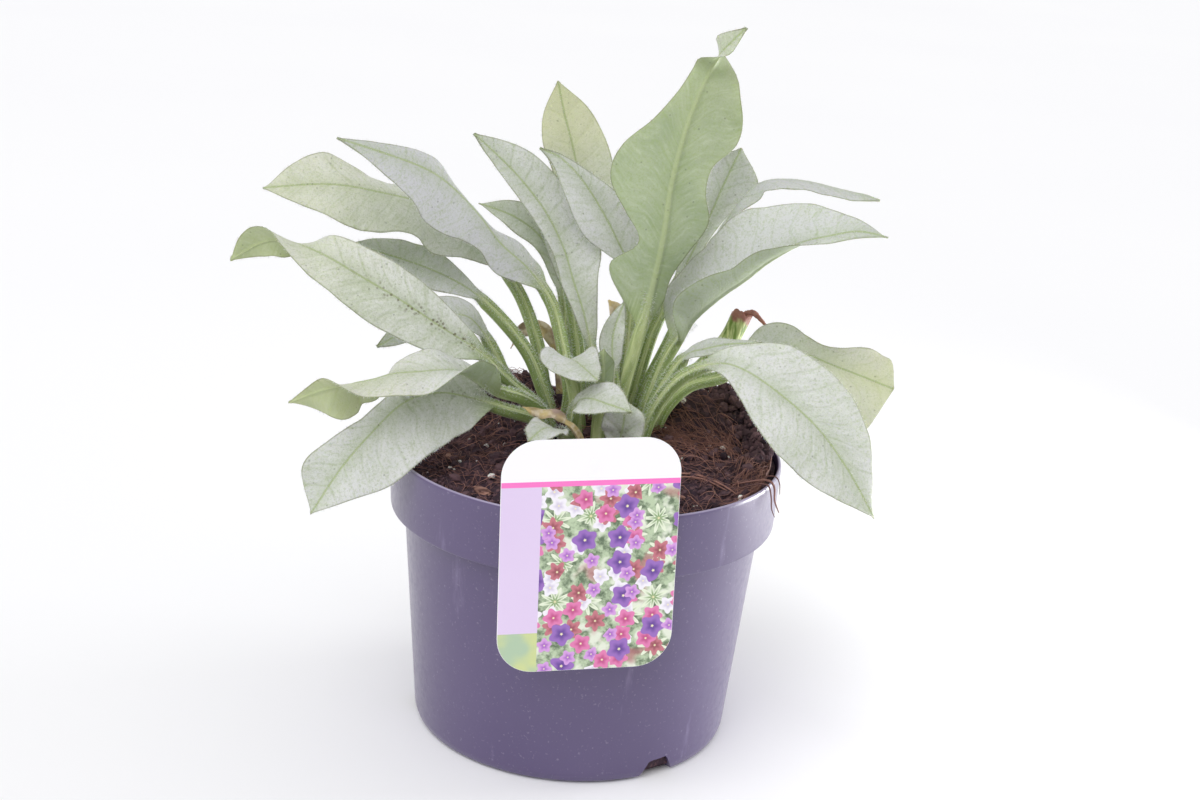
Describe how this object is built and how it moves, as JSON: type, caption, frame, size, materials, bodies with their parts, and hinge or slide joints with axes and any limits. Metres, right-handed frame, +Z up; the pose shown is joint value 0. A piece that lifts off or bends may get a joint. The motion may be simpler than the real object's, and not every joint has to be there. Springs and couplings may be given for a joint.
{
  "type": "potted lungwort",
  "caption": "Potted lungwort with a loose rosette of long silvery, hairy leaves, in a round nursery pot of peaty soil with a blank-fronted plant tag hooked on its rim.",
  "frame": {"origin": "middle of the pot's underside, in the plane that it stands on", "axes": "+Z up out of the pot, -Y towards the side that the tag hangs on, +X to the right as seen from that side"},
  "size_m": [0.2853, 0.1803, 0.3104],
  "materials": {
    "pot": "dark grey-purple moulded plastic, semi-gloss, lightly scuffed",
    "soil": "moist dark peat with coir fibre and white perlite",
    "rootstock": "rough brown rootstock",
    "tag": "white printed plastic sheet, satin",
    "leaf": "silvery felted upper face, pale green underside, hairy margins",
    "dry_leaf": "dry and crumpled",
    "stalk": "hairy green stalk with a torn brown end"
  },
  "bodies": {
    "root": {"pot": "pot", "soil": "soil", "crown": "rootstock", "tag": "tag", "leaf_left_long": "leaf", "leaf_left_upper": "leaf", "leaf_left_arching": "leaf", "leaf_left_shaded": "leaf", "leaf_left_hidden": "leaf", "leaf_left_twisted": "leaf", "leaf_left_over_rim": "leaf", "leaf_back_left": "leaf", "leaf_back_narrow": "leaf", "leaf_middle_left": "leaf", "leaf_middle_right": "leaf", "leaf_back_tall": "leaf", "leaf_centre_tall": "leaf", "leaf_back_right": "leaf", "leaf_right_ribbon": "leaf", "leaf_right_arching": "leaf", "leaf_right_over_rim": "leaf", "leaf_right_rear": "leaf", "leaf_right_short": "leaf", "leaf_small_forked": "leaf", "leaf_small_pointed": "leaf", "leaf_small_spotted": "leaf", "leaf_small_upright": "leaf", "leaf_small_rolled": "leaf", "leaf_small_front": "leaf", "dead_leaf_front": "dry_leaf", "dead_leaf_back": "dry_leaf", "dead_leaf_tip": "dry_leaf", "cut_stalk": "stalk"}
  },
  "joints": []
}
